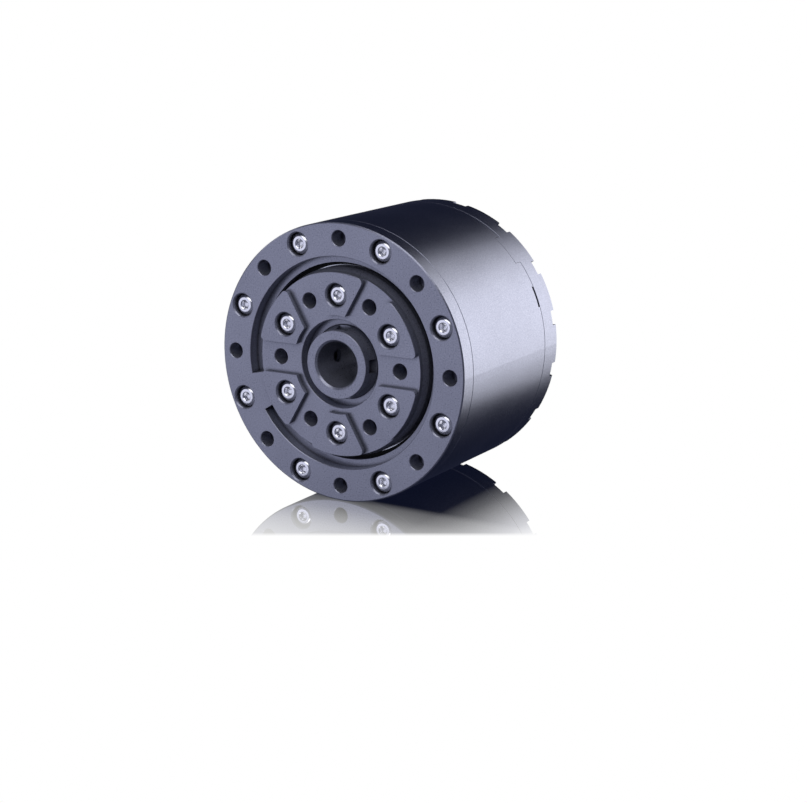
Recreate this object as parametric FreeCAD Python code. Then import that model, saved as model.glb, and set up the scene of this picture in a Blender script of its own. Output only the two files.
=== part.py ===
"""Hollow-shaft robot joint actuator with a strain-wave gear, a frameless motor and a crossed-roller
output bearing. Millimetres. The shaft axis lies along Y, the output faces -Y, +Z is up, and the
origin is the centre of the front ring's mounting face. Depths are counted back from that face, and
angles are counted from +X towards +Z, as seen from the front."""
import FreeCAD, Part
import math
import os

# Overall body. The main radii keep their proportion to the body; walls, gaps and screws keep their
# own size, and the motor takes the length that the gear and the rear leave it.
BODY_RADIUS = 45.0
OVERALL_DEPTH = 64.0
ACROSS = BODY_RADIUS / 45.0
EDGE_CHAMFER = 0.4
SEAM_CHAMFER = 0.15
HOLE_CHAMFER = 0.2
COUNTERBORE_CHAMFER = 0.35

# Fits, running gaps and the overshoot of cutting tools
FIT_GAP = 0.02
THREAD_GAP = 0.02
RUNNING_GAP = 0.3
SCREW_CLEARANCE = 0.2
THREAD_RUNOUT = 0.3
CUT_OVERSHOOT = 1.0

# Output flange
FLANGE_RADIUS = 29.6 * ACROSS
FLANGE_FOOT = 0.9
FLANGE_FOOT_START = 1.5
FLANGE_BOLT_RADIUS = 22.25 * ACROSS
FLANGE_BOLT_COUNT = 6
PAD_HEIGHT = 1.8
PAD_CHAMFER = 0.15
PAD_CORNER_RADIUS = 1.5
PAD_INNER_RADIUS = 16.0 * ACROSS
CHANNEL_WIDTH = 10.2
FLANGE_HOLE_DEPTH = 7.2
HUB_RECESS_RADIUS = 14.3 * ACROSS
HUB_RECESS_DEPTH = 4.0
HUB_RECESS_FLOOR = 1.6

# Front ring with the customer's bolt circle
GROOVE_WIDTH = 4.7
GROOVE_DEPTH = 4.0
SEAL_SLOT_WIDTH = 1.5
RING_DEPTH = 6.0
FLANGE_FOOT_RADIUS = FLANGE_RADIUS + FLANGE_FOOT
RING_BORE_RADIUS = FLANGE_RADIUS + GROOVE_WIDTH
RING_LIP_RADIUS = FLANGE_FOOT_RADIUS + SEAL_SLOT_WIDTH
RING_SPIGOT_DEPTH = 1.2
RING_BOLT_RADIUS = 40.0 * ACROSS
RING_BOLT_COUNT = 8
MOUNTING_HOLE_RADIUS = 2.5
COUNTERBORE_RADIUS = 3.75
HEAD_RECESS = 1.0
STOP_BLOCK_ANGLE = 201.9
STOP_BLOCK_SPAN = 20.8

# Cap screws: thread radius, head radius, head height and socket
M3_THREAD = 1.5
M3_HEAD = 2.75
M3_HEAD_HEIGHT = 3.0
M3_SOCKET = 1.45
M3_SOCKET_DEPTH = 1.4
SMALL_THREAD = 1.25
SMALL_HEAD = 2.2
SMALL_HEAD_HEIGHT = 2.0
SMALL_SOCKET = 1.15
SMALL_SOCKET_DEPTH = 0.9
RING_SCREW_LENGTH = 10.0
FLANGE_SCREW_LENGTH = 12.0
FLEX_SCREW_LENGTH = 8.0
COVER_SCREW_LENGTH = 10.0
BOARD_SCREW_LENGTH = 5.0

# Hollow shaft
BORE_RADIUS = 7.5 * ACROSS
BORE_CHAMFER = 0.6
SHAFT_WALL = 1.5
HUB_WALL = 3.5
HUB_HEIGHT = 1.9
HUB_FOOT = 1.0
HUB_FOOT_START = 1.4
COLLAR_WIDTH = 2.5
WINDOW_COUNT = 4
WINDOW_WIDTH = 4.4
WINDOW_START = 0.2
WINDOW_LENGTH = 3.4
WINDOW_DEPTH = 2.0
CROSS_HOLE_RADIUS = 2.2
CROSS_HOLE_DEPTH = 10.6
CROSS_HOLE_ANGLE = 180.0

# Crossed-roller output bearing
SHIELD_THICKNESS = 0.8
ROLLER_RADIUS = 1.9
ROLLER_SHORTENING = 0.1
ROLLER_COUNT = 36
ROLLER_PITCH_RADIUS = 32.9 * ACROSS
RACE_GAP = 1.0
OUTER_RACE_RADIUS = 37.0 * ACROSS
INNER_RACE_BACK = 16.5
OUTER_RACE_BACK = INNER_RACE_BACK + 0.5
CAGE_THICKNESS = 0.5
CAGE_WIDTH = 6.8
BALL_GAP = 0.03

# Motor bearings, one in the output side and one in the end bell
ROTOR_BORE_GAP = 0.8
ROTOR_WALL = 2.7
BEARING_SECTION = 6.0
BEARING_WIDTH = 7.0
BEARING_RACE = 2.0
BALL_RADIUS = 1.9
BALL_COUNT = 9
BEARING_LIP = 1.2

# Strain-wave gear; the heights of the teeth are shares of the module
MODULE = 0.56 * ACROSS
FLEX_TEETH = 100
RIGID_TEETH = 102
TOOTH_THICKNESS = MODULE * 1.428
TOOTH_FLANK_ANGLE = 25.0
FLEX_ADDENDUM = MODULE * 0.642
RIGID_ADDENDUM = MODULE * 0.607
DEDENDUM = MODULE * 0.786
FLEX_WALL = 0.6
FLEX_GAP = 0.05
FLEX_OVERHANG = 0.1
FLEX_BOSS_GAP = 0.2
FLEX_BOSS_SECTION = 5.1
FLEX_BOSS_WIDTH = 3.0
DIAPHRAGM_STEP = 1.0
RIGID_SPLINE_WIDTH = 8.0
RIGID_SPLINE_LEDGE = 2.5
RIGID_SCREW_COUNT = 8
WEB_WIDTH = 4.5
WEB_CLEARANCE = 0.9
WAVE_WIDTH = 6.5
WAVE_SETBACK = 0.5
WAVE_RACE = 1.3
WAVE_BALL_RADIUS = 1.6
WAVE_BALL_COUNT = 20
KEY_WIDTH = 4.0
KEY_HEIGHT = 3.0
KEY_LENGTH = 5.0

# Motor
MOTOR_BORE_RADIUS = 39.0 * ACROSS
COIL_SPACE = 1.7
STACK_FRONT_GAP = 5.1
STACK_BACK_GAP = 2.8
STATOR_BORE_RADIUS = 28.0 * ACROSS
YOKE_THICKNESS = 3.6
TOOTH_WIDTH = 4.2
TOOTH_ROOT = 0.5
SHOE_THICKNESS = 1.2
SLOT_OPENING = 1.2
STATOR_TEETH = 18
COIL_WIDTH = 2.2
COIL_OVERHANG = 2.0
COIL_LINER = 0.1
AIR_GAP = 0.6
MAGNET_THICKNESS = 2.0
MAGNET_COUNT = 20
MAGNET_SPACING = 0.6
MAGNET_OVERHANG = 0.5
RIM_GAP = 1.4
ROTOR_WEB = 2.4
ROTOR_SHOULDER_WALL = 2.0
ROTOR_SHOULDER_LENGTH = 1.8
NUT_WALL = 1.4
NUT_WIDTH = 2.2
NUT_SLOT_COUNT = 4
NUT_SLOT_WIDTH = 2.0
NUT_SLOT_DEPTH = 0.6

# End bell, encoders and electronics
BELL_THICKNESS = 2.6
BELL_RADIUS = 43.0 * ACROSS
BELL_BOSS = 2.5
BELL_SCREW_EDGE = 2.2
BELL_SCREW_COUNT = 6
BELL_SCREW_THREAD = 1.0
BELL_SCREW_HEAD = 1.9
BELL_SCREW_LENGTH = 6.0
DISC_RADIUS = 20.0 * ACROSS
DISC_THICKNESS = 0.9
DISC_GAP = 0.9
ENCODER_GAP = 0.6
BOARD_GAP = 2.0
BOARD_THICKNESS = 1.6
BOARD_RADIUS = 33.0 * ACROSS
BOARD_BORE_GAP = 2.0
BOARD_SCREW_EDGE = 4.0
BOARD_SCREW_COUNT = 4
SPACER_RADIUS = 2.4
CHIP_RADIUS = 26.5 * ACROSS
PROCESSOR_SIZE = 7.0
PROCESSOR_THICKNESS = 1.2
TRANSISTOR_LENGTH = 5.0
TRANSISTOR_WIDTH = 3.6
TRANSISTOR_THICKNESS = 1.0
TRANSISTOR_ANGLES = (12.0, 30.0, 66.0, 114.0, 150.0, 168.0)
CAPACITOR_RADIUS = 2.0
CAPACITOR_HEIGHT = 1.8
CAPACITOR_ANGLES = (192.0, 210.0, 330.0, 348.0)

# Rear cover
COVER_LAP = 2.0
PLATE_RECESS = 3.0
PLATE_THICKNESS = 2.0
RIM_WALL = 3.0
SPIGOT_WALL = 1.6
NOTCH_COUNT = 16
NOTCH_WIDTH = 4.8
NOTCH_DEPTH = 2.5
COVER_SCREW_RADIUS = 36.5 * ACROSS
COVER_SCREW_COUNT = 6
COVER_BOSS_RADIUS = 3.0
BOSS_ROOT = 0.5
KEY_TAB_ANGLE = 45.0
KEY_TAB_SPAN = 14.0
KEY_TAB_PLAY = 0.3
KEY_TAB_GAP = 0.15
KEY_TAB_DEPTH = 3.3
SLOT_ANGLE = 22.0
SLOT_SPAN = 9.0
SLOT_WIDTH = 1.0
SEAL_WIDTH = 2.5
SEAL_GAP = 0.08
CONNECTOR_GAP = 0.25
CONNECTOR_PROUD = 0.6
CONNECTOR_WALL = 0.8
POWER_CONNECTOR_WIDTH = 12.0
POWER_CONNECTOR_HEIGHT = 7.0
POWER_CONNECTOR_DROP = 26.0 * ACROSS
DATA_CONNECTOR_WIDTH = 8.0
DATA_CONNECTOR_HEIGHT = 6.0
DATA_CONNECTOR_DROP = 24.5 * ACROSS
DATA_CONNECTOR_SIDE = 13.0

# Depths that follow, first from the front and then from the rear
RECESS_DEPTH = RING_DEPTH + RING_SPIGOT_DEPTH
SHIELD_BACK = RECESS_DEPTH + SHIELD_THICKNESS
FLANGE_BACK = SHIELD_BACK + RUNNING_GAP
COLLAR_FRONT = HUB_RECESS_DEPTH + HUB_RECESS_FLOOR
ROLLER_PLANE = (FLANGE_BACK + INNER_RACE_BACK) / 2
FRONT_BEARING = INNER_RACE_BACK - BEARING_WIDTH
WEB_BACK = OUTER_RACE_BACK + WEB_WIDTH
RIGID_BACK = WEB_BACK + RIGID_SPLINE_WIDTH
RIGID_SCREW_LENGTH = WEB_WIDTH + RIGID_SPLINE_WIDTH - 2 * THREAD_RUNOUT
WAVE_BACK = RIGID_BACK - WAVE_SETBACK
WAVE_FRONT = WAVE_BACK - WAVE_WIDTH
FLEX_BACK = RIGID_BACK + FLEX_OVERHANG
ROTOR_WEB_FRONT = WAVE_BACK + ROTOR_SHOULDER_LENGTH
PLATE_BACK = OVERALL_DEPTH - PLATE_RECESS
PLATE_FRONT = PLATE_BACK - PLATE_THICKNESS
OUTPUT_DISC_BACK = PLATE_FRONT - DISC_GAP
OUTPUT_DISC_FRONT = OUTPUT_DISC_BACK - DISC_THICKNESS
BOARD_BACK = OUTPUT_DISC_FRONT - ENCODER_GAP
BOARD_FRONT = BOARD_BACK - BOARD_THICKNESS
BELL_BACK = BOARD_FRONT - BOARD_GAP
BELL_FRONT = BELL_BACK - BELL_THICKNESS
HOUSING_BACK = BELL_BACK + COVER_LAP
ROTOR_DISC_FRONT = BELL_BACK + RUNNING_GAP
ROTOR_DISC_BACK = ROTOR_DISC_FRONT + DISC_THICKNESS
REAR_BEARING = BELL_FRONT - BEARING_WIDTH
STACK_FRONT = RIGID_BACK + STACK_FRONT_GAP
STACK_BACK = BELL_FRONT - STACK_BACK_GAP

# Radii that follow, outwards from the bore
SHAFT_RADIUS = BORE_RADIUS + SHAFT_WALL
HUB_RADIUS = BORE_RADIUS + HUB_WALL
HUB_FOOT_RADIUS = HUB_RADIUS + HUB_FOOT
COLLAR_RADIUS = HUB_RECESS_RADIUS + COLLAR_WIDTH
ROTOR_BORE_RADIUS = SHAFT_RADIUS + ROTOR_BORE_GAP
BEARING_BORE = ROTOR_BORE_RADIUS + ROTOR_WALL
BEARING_RADIUS = BEARING_BORE + BEARING_SECTION
ROTOR_SHOULDER = BEARING_BORE + ROTOR_SHOULDER_WALL
NUT_RADIUS = BEARING_BORE + NUT_WALL
SEAL_RADIUS = SHAFT_RADIUS + SEAL_WIDTH
BOARD_BORE_RADIUS = SHAFT_RADIUS + BOARD_BORE_GAP
BOARD_SCREW_RADIUS = BOARD_RADIUS - BOARD_SCREW_EDGE
FLEX_BOSS_INNER = BEARING_RADIUS + FLEX_BOSS_GAP
FLEX_BOSS_OUTER = FLEX_BOSS_INNER + FLEX_BOSS_SECTION
FLEX_SCREW_RADIUS = (FLEX_BOSS_INNER + FLEX_BOSS_OUTER) / 2
FLEX_PITCH_RADIUS = MODULE * FLEX_TEETH / 2
RIGID_PITCH_RADIUS = MODULE * RIGID_TEETH / 2
WAVE_LIFT = RIGID_PITCH_RADIUS - FLEX_PITCH_RADIUS
FLEX_INNER_RADIUS = FLEX_PITCH_RADIUS - DEDENDUM - FLEX_WALL
WAVE_OUTER_RADIUS = FLEX_INNER_RADIUS - FLEX_GAP
WAVE_BALL_OUTER = WAVE_OUTER_RADIUS - WAVE_RACE
WAVE_BALL_PITCH = WAVE_BALL_OUTER - BALL_GAP - WAVE_BALL_RADIUS
WAVE_BALL_INNER = WAVE_BALL_PITCH - BALL_GAP - WAVE_BALL_RADIUS
PLUG_RADIUS = WAVE_BALL_INNER - WAVE_RACE
WEB_BORE_RADIUS = FLEX_PITCH_RADIUS + DEDENDUM + WEB_CLEARANCE
RIGID_SPLINE_RADIUS = OUTER_RACE_RADIUS - RIGID_SPLINE_LEDGE
RIGID_SCREW_RADIUS = (RIGID_PITCH_RADIUS + DEDENDUM + RIGID_SPLINE_RADIUS) / 2
COIL_SPACE_RADIUS = RIGID_SPLINE_RADIUS + COIL_SPACE
MAGNET_RADIUS = STATOR_BORE_RADIUS - AIR_GAP
RIM_RADIUS = MAGNET_RADIUS - MAGNET_THICKNESS
RIM_INNER_RADIUS = BEARING_RADIUS + BELL_BOSS + RIM_GAP
BELL_SCREW_RADIUS = BELL_RADIUS - BELL_SCREW_EDGE
COVER_INNER_RADIUS = BODY_RADIUS - RIM_WALL

ORIGIN = FreeCAD.Vector(0, 0, 0)
BACKWARDS = FreeCAD.Vector(0, 1, 0)
FORWARDS = FreeCAD.Vector(0, -1, 0)


def disc(radius, front, back):
    """Solid cylinder on the shaft axis from one depth to another."""
    return Part.makeCylinder(radius, back - front, FreeCAD.Vector(0, front, 0), BACKWARDS)


def tube(outer, inner, front, back):
    return disc(outer, front, back).cut(disc(inner, front - CUT_OVERSHOOT, back + CUT_OVERSHOOT))


def revolved(points):
    """Solid of revolution about the shaft axis from (radius, depth) corners."""
    corners = [FreeCAD.Vector(radius, depth, 0) for radius, depth in points]
    wire = Part.makePolygon(corners + corners[:1])
    return Part.Face(wire).revolve(ORIGIN, BACKWARDS, 360)


def turned(shape, angle):
    """Copy of a shape turned about the shaft axis, from +X towards +Z."""
    copy = shape.copy()
    copy.rotate(ORIGIN, FORWARDS, angle)
    return copy


def moved(shape, radius, depth=0.0):
    copy = shape.copy()
    copy.translate(FreeCAD.Vector(radius, depth, 0))
    return copy


def around(shape, count, first=0.0):
    """A ring of equal copies about the shaft axis."""
    return Part.makeCompound([turned(shape, first + 360.0 * k / count) for k in range(count)])


def hole(radius, front, back, distance):
    """Cylinder along the shaft axis at a distance from it, on +X."""
    return moved(disc(radius, front, back), distance)


def hole_edge(radius, chamfer, front, distance):
    """Cone that breaks the front edge of such a hole."""
    reach = chamfer + CUT_OVERSHOOT
    cone = Part.makeCone(radius + reach, radius, reach, FreeCAD.Vector(0, front - CUT_OVERSHOOT, 0),
                         BACKWARDS)
    return moved(cone, distance)


def block(inner, outer, width, front, back):
    """Box on +X from one radius to another, with its width across +X."""
    corner = FreeCAD.Vector(inner, front, -width / 2)
    return Part.makeBox(outer - inner, back - front, width, corner)


def sector(outer, inner, front, back, middle, span):
    """Part of a tube between two angles, given by its middle and its span."""
    start = FreeCAD.Vector(inner, front, 0)
    section = Part.makePlane(outer - inner, back - front, start, FreeCAD.Vector(0, 0, 1))
    return turned(section.revolve(ORIGIN, FORWARDS, span), middle - span / 2)


def oval_disc(radius, front, back):
    """Cylinder whose section is bent by the wave generator, with its long axis on X."""
    long_end = FreeCAD.Vector(radius + WAVE_LIFT, front, 0)
    short_end = FreeCAD.Vector(0, front, radius - WAVE_LIFT)
    ellipse = Part.Ellipse(long_end, short_end, FreeCAD.Vector(0, front, 0))
    face = Part.Face(Part.Wire(ellipse.toShape()))
    return face.extrude(FreeCAD.Vector(0, back - front, 0))


def oval_tube(outer, inner, front, back):
    bore = oval_disc(inner, front - CUT_OVERSHOOT, back + CUT_OVERSHOOT)
    return oval_disc(outer, front, back).cut(bore)


def oval_place(radius, angle):
    """Point and outward normal of the bent section at an undeformed angle, in degrees."""
    bend = math.radians(angle)
    place = bend - WAVE_LIFT / (2 * radius) * math.sin(2 * bend)
    normal = place + 2 * WAVE_LIFT / radius * math.sin(2 * bend)
    distance = radius + WAVE_LIFT * math.cos(2 * bend)
    centre = FreeCAD.Vector(distance * math.cos(place), 0, distance * math.sin(place))
    return centre, FreeCAD.Vector(math.cos(normal), 0, math.sin(normal))


def tooth_corners(centre, outward, heights):
    """Four corners of a tooth: root, tip, tip, root, with heights measured from the pitch line."""
    across = FreeCAD.Vector(-outward.z, 0, outward.x)
    slope = math.tan(math.radians(TOOTH_FLANK_ANGLE))
    root, tip = heights
    towards = 1 if tip > root else -1
    corners = []
    for height, side in ((root, -1), (tip, -1), (tip, 1), (root, 1)):
        half = TOOTH_THICKNESS / 2 - slope * height * towards
        corners.append(centre + outward * height + across * (half * side))
    return corners


def toothed_disc(corners, front, back):
    wire = Part.makePolygon(corners + corners[:1])
    wire.translate(FreeCAD.Vector(0, front, 0))
    return Part.Face(wire).extrude(FreeCAD.Vector(0, back - front, 0))


def cap_screw(thread, head, height, length, socket, socket_depth):
    """Socket-head screw on the shaft axis: its head in front of depth 0, its thread behind."""
    bevel = 0.1 * head
    profile = [(0, -height), (head - bevel, -height), (head, bevel - height), (head, 0),
               (thread, 0), (thread, length), (0, length)]
    hexagon = Part.makePolygon([FreeCAD.Vector(socket * math.cos(math.radians(60 * k)), -height,
                                               socket * math.sin(math.radians(60 * k)))
                                for k in range(7)])
    recess = Part.Face(hexagon).extrude(FreeCAD.Vector(0, socket_depth, 0))
    return revolved(profile).cut(recess)


def m3_screw(length):
    return cap_screw(M3_THREAD, M3_HEAD, M3_HEAD_HEIGHT, length, M3_SOCKET, M3_SOCKET_DEPTH)


def small_screw(length):
    return cap_screw(SMALL_THREAD, SMALL_HEAD, SMALL_HEAD_HEIGHT, length, SMALL_SOCKET,
                     SMALL_SOCKET_DEPTH)


def reversed_screw(screw):
    """The same screw with its head towards the rear."""
    copy = screw.copy()
    copy.rotate(ORIGIN, FreeCAD.Vector(1, 0, 0), 180)
    return copy


RING_SEAT = HEAD_RECESS + M3_HEAD_HEIGHT
RING_SCREW_FIRST = 180.0 / RING_BOLT_COUNT
FLANGE_SEAT = HEAD_RECESS + M3_HEAD_HEIGHT - PAD_HEIGHT
FLANGE_SCREW_FIRST = 180.0 / FLANGE_BOLT_COUNT
FLEX_SEAT = INNER_RACE_BACK + FLEX_BOSS_WIDTH
COVER_SCREW_FIRST = 180.0 / COVER_SCREW_COUNT
BOARD_SCREW_FIRST = 180.0 / BOARD_SCREW_COUNT


def front_ring():
    """Mounting ring: its spigot clamps the bearing shield, its lip is the floor of the groove."""
    ring = revolved([(RING_BORE_RADIUS + SEAM_CHAMFER, 0), (BODY_RADIUS - EDGE_CHAMFER, 0),
                     (BODY_RADIUS, EDGE_CHAMFER), (BODY_RADIUS, RING_DEPTH - SEAM_CHAMFER),
                     (BODY_RADIUS - SEAM_CHAMFER, RING_DEPTH), (OUTER_RACE_RADIUS - FIT_GAP, RING_DEPTH),
                     (OUTER_RACE_RADIUS - FIT_GAP, RECESS_DEPTH), (RING_LIP_RADIUS, RECESS_DEPTH),
                     (RING_LIP_RADIUS, GROOVE_DEPTH), (RING_BORE_RADIUS, GROOVE_DEPTH),
                     (RING_BORE_RADIUS, SEAM_CHAMFER)])
    stop = sector(RING_BORE_RADIUS + CUT_OVERSHOOT, FLANGE_RADIUS + RUNNING_GAP, 0, FLANGE_FOOT_START,
                  STOP_BLOCK_ANGLE, STOP_BLOCK_SPAN)
    stop_root = sector(RING_BORE_RADIUS + CUT_OVERSHOOT, FLANGE_FOOT_RADIUS + RUNNING_GAP,
                       FLANGE_FOOT_START, RECESS_DEPTH, STOP_BLOCK_ANGLE, STOP_BLOCK_SPAN)
    mounting = hole(MOUNTING_HOLE_RADIUS, -CUT_OVERSHOOT, RING_DEPTH, RING_BOLT_RADIUS)
    mounting_edge = hole_edge(MOUNTING_HOLE_RADIUS, HOLE_CHAMFER, 0, RING_BOLT_RADIUS)
    counterbore = hole(COUNTERBORE_RADIUS, -CUT_OVERSHOOT, RING_SEAT, RING_BOLT_RADIUS)
    counterbore_edge = hole_edge(COUNTERBORE_RADIUS, COUNTERBORE_CHAMFER, 0, RING_BOLT_RADIUS)
    through = hole(M3_THREAD + SCREW_CLEARANCE, 0, RECESS_DEPTH, RING_BOLT_RADIUS)
    ring = ring.fuse([stop, stop_root]).removeSplitter()
    return ring.cut([around(mounting.fuse(mounting_edge), RING_BOLT_COUNT),
                     around(counterbore.fuse([counterbore_edge, through]), RING_BOLT_COUNT,
                            RING_SCREW_FIRST)])


def front_ring_screws():
    screw = moved(m3_screw(RING_SCREW_LENGTH), RING_BOLT_RADIUS, RING_SEAT)
    return around(screw, RING_BOLT_COUNT, RING_SCREW_FIRST)


def bearing_shield():
    return tube(OUTER_RACE_RADIUS - FIT_GAP, FLANGE_FOOT_RADIUS + RUNNING_GAP, RECESS_DEPTH, SHIELD_BACK)


def output_flange():
    """Output plate: six raised pads carry the screw heads, six channels carry the mounting holes."""
    pads = revolved([(0, -PAD_HEIGHT), (FLANGE_RADIUS - PAD_CHAMFER, -PAD_HEIGHT),
                     (FLANGE_RADIUS, PAD_CHAMFER - PAD_HEIGHT), (FLANGE_RADIUS, 0), (0, 0)])
    above = -PAD_HEIGHT - CUT_OVERSHOOT
    channel = block(0, FLANGE_RADIUS + CUT_OVERSHOOT, CHANNEL_WIDTH, above, 0)
    pads = pads.cut([around(channel, FLANGE_BOLT_COUNT), disc(PAD_INNER_RADIUS, above, 0)])
    rounded = []
    for pad in pads.Solids:
        upright = [edge for edge in pad.Edges
                   if len(edge.Vertexes) == 2 and abs(edge.tangentAt(edge.FirstParameter).y) > 0.99]
        outer = [edge for edge in upright
                 if math.hypot(edge.CenterOfMass.x, edge.CenterOfMass.z) > FLANGE_BOLT_RADIUS]
        rounded.append(pad.makeFillet(PAD_CORNER_RADIUS, outer))
    plate = revolved([(HUB_RECESS_RADIUS + SEAM_CHAMFER, 0), (FLANGE_RADIUS, 0),
                      (FLANGE_RADIUS, FLANGE_FOOT_START), (FLANGE_FOOT_RADIUS, GROOVE_DEPTH),
                      (FLANGE_FOOT_RADIUS, FLANGE_BACK), (COLLAR_RADIUS, FLANGE_BACK),
                      (COLLAR_RADIUS, COLLAR_FRONT), (HUB_FOOT_RADIUS + FIT_GAP, COLLAR_FRONT),
                      (HUB_FOOT_RADIUS + FIT_GAP, HUB_RECESS_DEPTH + SEAM_CHAMFER),
                      (HUB_FOOT_RADIUS + FIT_GAP + SEAM_CHAMFER, HUB_RECESS_DEPTH),
                      (HUB_RECESS_RADIUS, HUB_RECESS_DEPTH), (HUB_RECESS_RADIUS, SEAM_CHAMFER)])
    plate = plate.fuse(rounded).removeSplitter()
    mounting = hole(MOUNTING_HOLE_RADIUS, above, FLANGE_HOLE_DEPTH, FLANGE_BOLT_RADIUS)
    mounting_edge = hole_edge(MOUNTING_HOLE_RADIUS, HOLE_CHAMFER, 0, FLANGE_BOLT_RADIUS)
    counterbore = hole(COUNTERBORE_RADIUS, above, FLANGE_SEAT, FLANGE_BOLT_RADIUS)
    counterbore_edge = hole_edge(COUNTERBORE_RADIUS, COUNTERBORE_CHAMFER, -PAD_HEIGHT, FLANGE_BOLT_RADIUS)
    through = hole(M3_THREAD + SCREW_CLEARANCE, 0, FLANGE_BACK + CUT_OVERSHOOT, FLANGE_BOLT_RADIUS)
    return plate.cut([around(mounting.fuse(mounting_edge), FLANGE_BOLT_COUNT),
                      around(counterbore.fuse([counterbore_edge, through]), FLANGE_BOLT_COUNT,
                             FLANGE_SCREW_FIRST)])


def output_flange_screws():
    screw = moved(m3_screw(FLANGE_SCREW_LENGTH), FLANGE_BOLT_RADIUS, FLANGE_SEAT)
    return around(screw, FLANGE_BOLT_COUNT, FLANGE_SCREW_FIRST)


def hollow_shaft():
    """Turned tube: its collar is clamped behind the flange, its head stands in the flange's recess."""
    shaft = revolved([(BORE_RADIUS + BORE_CHAMFER, -HUB_HEIGHT),
                      (HUB_RADIUS - SEAM_CHAMFER, -HUB_HEIGHT), (HUB_RADIUS, SEAM_CHAMFER - HUB_HEIGHT),
                      (HUB_RADIUS, HUB_FOOT_START), (HUB_FOOT_RADIUS, HUB_RECESS_DEPTH),
                      (HUB_FOOT_RADIUS, COLLAR_FRONT), (COLLAR_RADIUS - FIT_GAP, COLLAR_FRONT),
                      (COLLAR_RADIUS - FIT_GAP, FLANGE_BACK), (SHAFT_RADIUS, FLANGE_BACK),
                      (SHAFT_RADIUS, PLATE_BACK), (BORE_RADIUS + BORE_CHAMFER, PLATE_BACK),
                      (BORE_RADIUS, PLATE_BACK - BORE_CHAMFER),
                      (BORE_RADIUS, BORE_CHAMFER - HUB_HEIGHT)])
    window = block(HUB_RADIUS - WINDOW_DEPTH, HUB_FOOT_RADIUS + CUT_OVERSHOOT, WINDOW_WIDTH,
                   WINDOW_START, WINDOW_START + WINDOW_LENGTH)
    cross_hole = Part.makeCylinder(CROSS_HOLE_RADIUS, SHAFT_RADIUS + CUT_OVERSHOOT,
                                   FreeCAD.Vector(0, CROSS_HOLE_DEPTH, 0), FreeCAD.Vector(1, 0, 0))
    return shaft.cut([around(window, WINDOW_COUNT), turned(cross_hole, CROSS_HOLE_ANGLE)])


def roller_groove():
    """Square groove on its corner that both races share around the rollers."""
    reach = (ROLLER_RADIUS + BALL_GAP) * math.sqrt(2)
    middle = ROLLER_PITCH_RADIUS
    return revolved([(middle - reach, ROLLER_PLANE), (middle, ROLLER_PLANE - reach),
                     (middle + reach, ROLLER_PLANE), (middle, ROLLER_PLANE + reach)])


def crossed_roller_inner_ring():
    """Rotating race that carries the flange in front, the gear cup behind and the motor bearing."""
    outside = ROLLER_PITCH_RADIUS - RACE_GAP / 2
    ring = revolved([(BEARING_RADIUS - BEARING_LIP, FLANGE_BACK), (outside, FLANGE_BACK),
                     (outside, INNER_RACE_BACK), (BEARING_RADIUS, INNER_RACE_BACK),
                     (BEARING_RADIUS, FRONT_BEARING), (BEARING_RADIUS - BEARING_LIP, FRONT_BEARING)])
    flange_tip = FLANGE_SEAT + FLANGE_SCREW_LENGTH + THREAD_RUNOUT
    flange_thread = hole(M3_THREAD + THREAD_GAP, FLANGE_BACK - CUT_OVERSHOOT, flange_tip,
                         FLANGE_BOLT_RADIUS)
    flex_tip = FLEX_SEAT - FLEX_SCREW_LENGTH - THREAD_RUNOUT
    flex_thread = hole(SMALL_THREAD + THREAD_GAP, flex_tip, INNER_RACE_BACK + CUT_OVERSHOOT,
                       FLEX_SCREW_RADIUS)
    return ring.cut([roller_groove(), around(flange_thread, FLANGE_BOLT_COUNT, FLANGE_SCREW_FIRST),
                     around(flex_thread, FLANGE_BOLT_COUNT)])


def crossed_roller_outer_ring():
    inside = ROLLER_PITCH_RADIUS + RACE_GAP / 2
    return tube(OUTER_RACE_RADIUS - FIT_GAP, inside, SHIELD_BACK, OUTER_RACE_BACK).cut(roller_groove())


def crossed_rollers():
    """Short rollers whose axes lean alternately forwards and backwards by 45 degrees."""
    length = 2 * ROLLER_RADIUS - ROLLER_SHORTENING
    rollers = []
    for k in range(ROLLER_COUNT):
        lean = FreeCAD.Vector(1, 1 if k % 2 else -1, 0).normalize()
        centre = FreeCAD.Vector(ROLLER_PITCH_RADIUS, ROLLER_PLANE, 0)
        roller = Part.makeCylinder(ROLLER_RADIUS, length, centre - lean * (length / 2), lean)
        rollers.append(turned(roller, 360.0 * k / ROLLER_COUNT))
    return Part.makeCompound(rollers)


def crossed_roller_cage():
    cage = tube(ROLLER_PITCH_RADIUS + CAGE_THICKNESS / 2, ROLLER_PITCH_RADIUS - CAGE_THICKNESS / 2,
                ROLLER_PLANE - CAGE_WIDTH / 2, ROLLER_PLANE + CAGE_WIDTH / 2)
    half = ROLLER_RADIUS * math.sqrt(2) + BALL_GAP
    window = block(ROLLER_PITCH_RADIUS - CUT_OVERSHOOT, ROLLER_PITCH_RADIUS + CUT_OVERSHOOT,
                   2 * ROLLER_RADIUS + 4 * BALL_GAP, ROLLER_PLANE - half, ROLLER_PLANE + half)
    return cage.cut(around(window, ROLLER_COUNT))


def ball_groove(front):
    middle = FreeCAD.Vector(0, front + BEARING_WIDTH / 2, 0)
    pitch = (BEARING_BORE + BEARING_RADIUS) / 2
    return Part.makeTorus(pitch, BALL_RADIUS + BALL_GAP, middle, BACKWARDS)


def bearing_inner_ring(front):
    ring = tube(BEARING_BORE + BEARING_RACE, BEARING_BORE, front, front + BEARING_WIDTH)
    return ring.cut(ball_groove(front))


def bearing_outer_ring(front):
    ring = tube(BEARING_RADIUS - FIT_GAP, BEARING_RADIUS - BEARING_RACE, front, front + BEARING_WIDTH)
    return ring.cut(ball_groove(front))


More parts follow.
